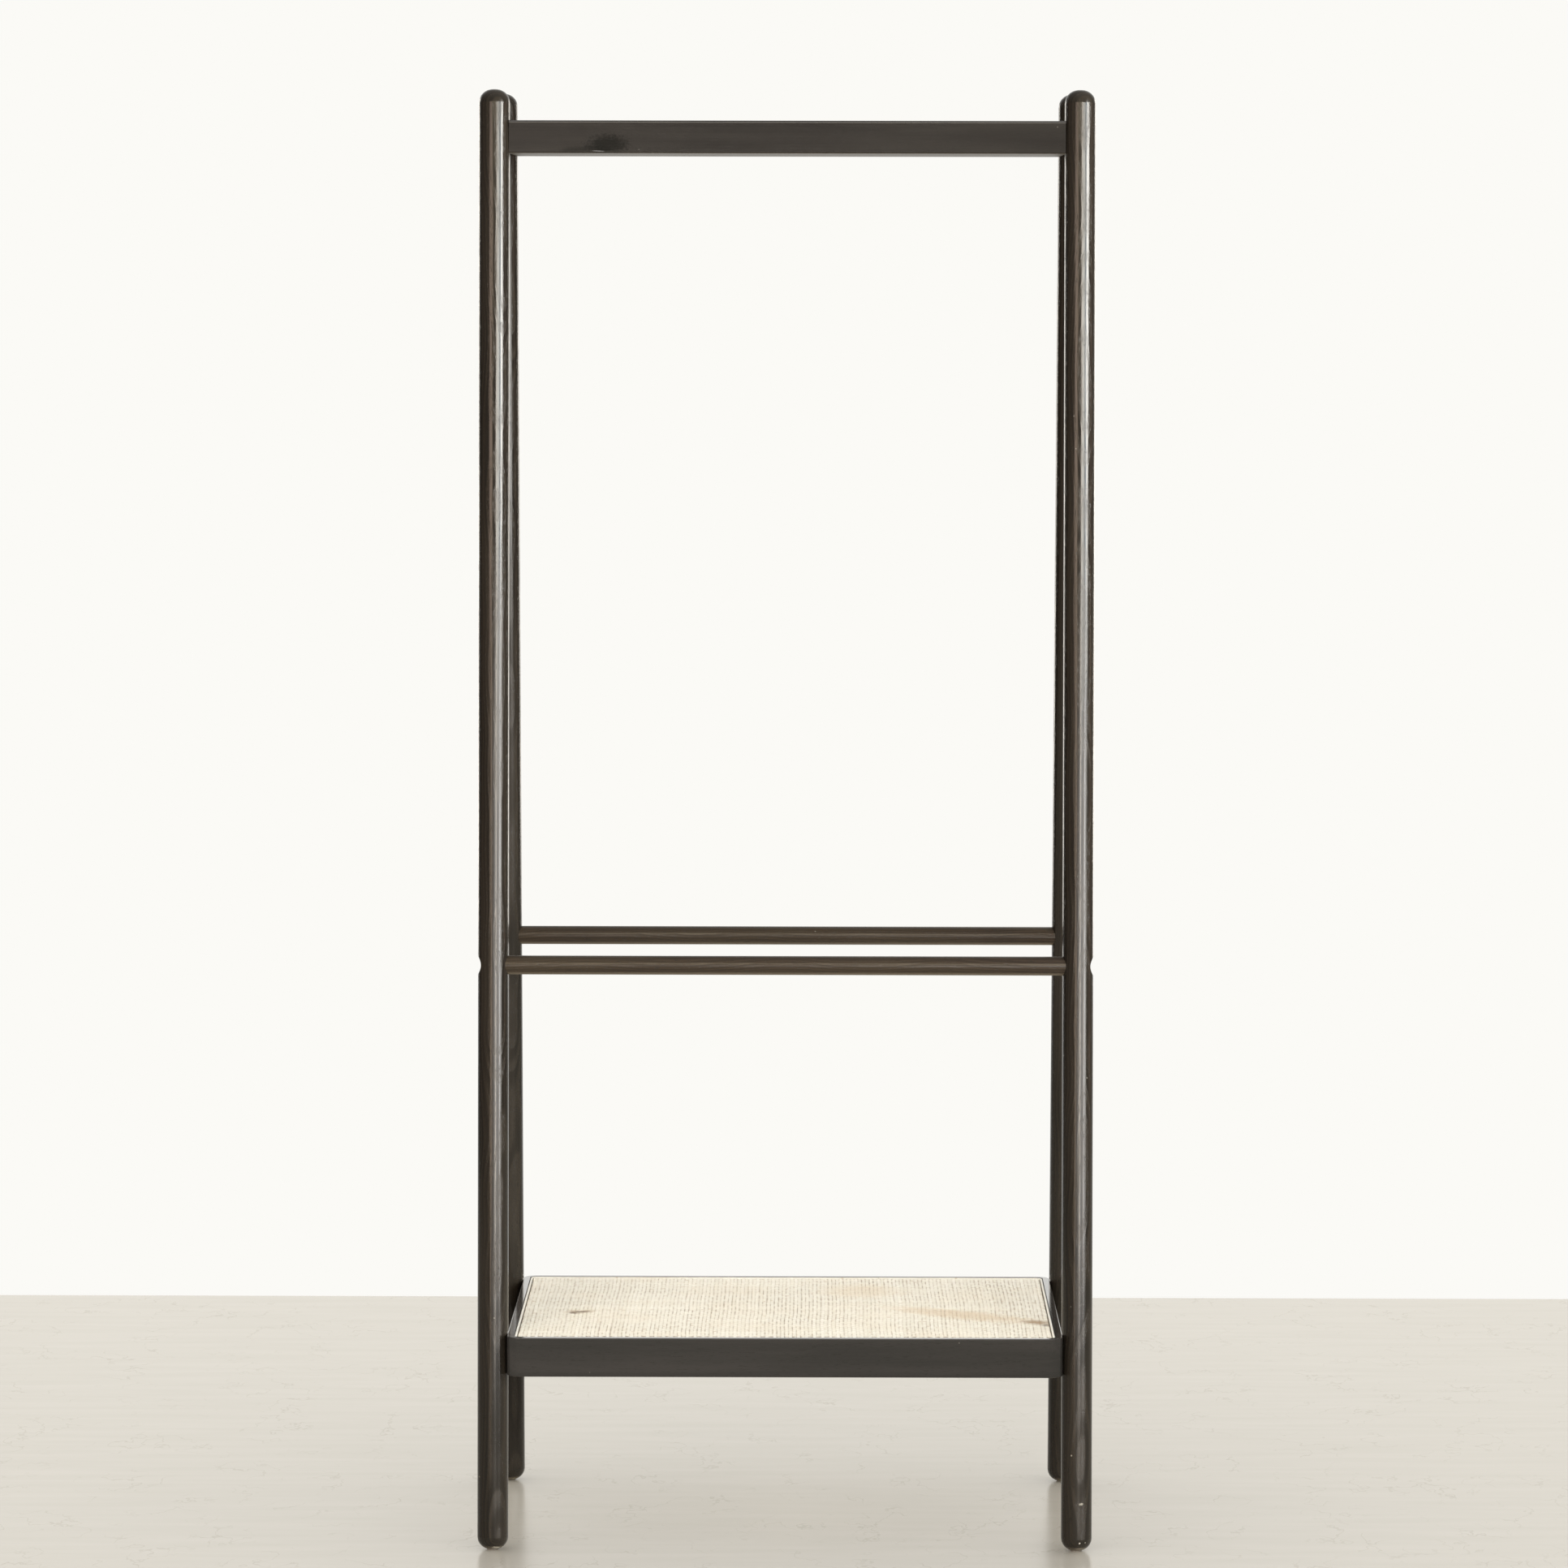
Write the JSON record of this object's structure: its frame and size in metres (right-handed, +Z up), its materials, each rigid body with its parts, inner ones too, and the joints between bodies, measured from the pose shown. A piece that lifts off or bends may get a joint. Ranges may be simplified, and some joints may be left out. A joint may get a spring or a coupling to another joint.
{
  "type": "kimono stand",
  "caption": "Free-standing garment stand: round legs lean together in two A-frame pairs that carry a top board, two crossbars and a low shelf of close-woven cane.",
  "frame": {"origin": "on the floor, under the middle of the stand", "axes": "+X to the stand's right seen from the front, +Y to its back, +Z up"},
  "size_m": [0.697, 0.4328, 1.65],
  "materials": {
    "stained_wood": "black-brown stain on open-pored ash, satin lacquer",
    "woven_cane": "close-woven natural cane, unvarnished",
    "reed": "natural round reed, smooth",
    "dowel_wood": "raw fluted beech",
    "plated_steel": "dark zinc plating",
    "insert_brass": "machined",
    "glide_plastic": "matt moulded grey"
  },
  "bodies": {
    "root": {"front_left_leg": "stained_wood", "front_right_leg": "stained_wood", "back_left_leg": "stained_wood", "back_right_leg": "stained_wood", "top_rail": "stained_wood", "front_crossbar": "stained_wood", "back_crossbar": "stained_wood", "shelf_front_rail": "stained_wood", "shelf_back_rail": "stained_wood", "shelf_left_rail": "stained_wood", "shelf_right_rail": "stained_wood", "shelf_brace": "stained_wood", "cane_panel": "woven_cane", "cane_spline": "reed", "top_rail_dowels": "dowel_wood", "shelf_frame_dowels": "dowel_wood", "crossbar_bolts": "plated_steel", "crossbar_washers": "plated_steel", "shelf_bolts": "plated_steel", "shelf_washers": "plated_steel", "crossbar_inserts": "insert_brass", "shelf_inserts": "insert_brass", "foot_glides": "glide_plastic"}
  },
  "joints": []
}
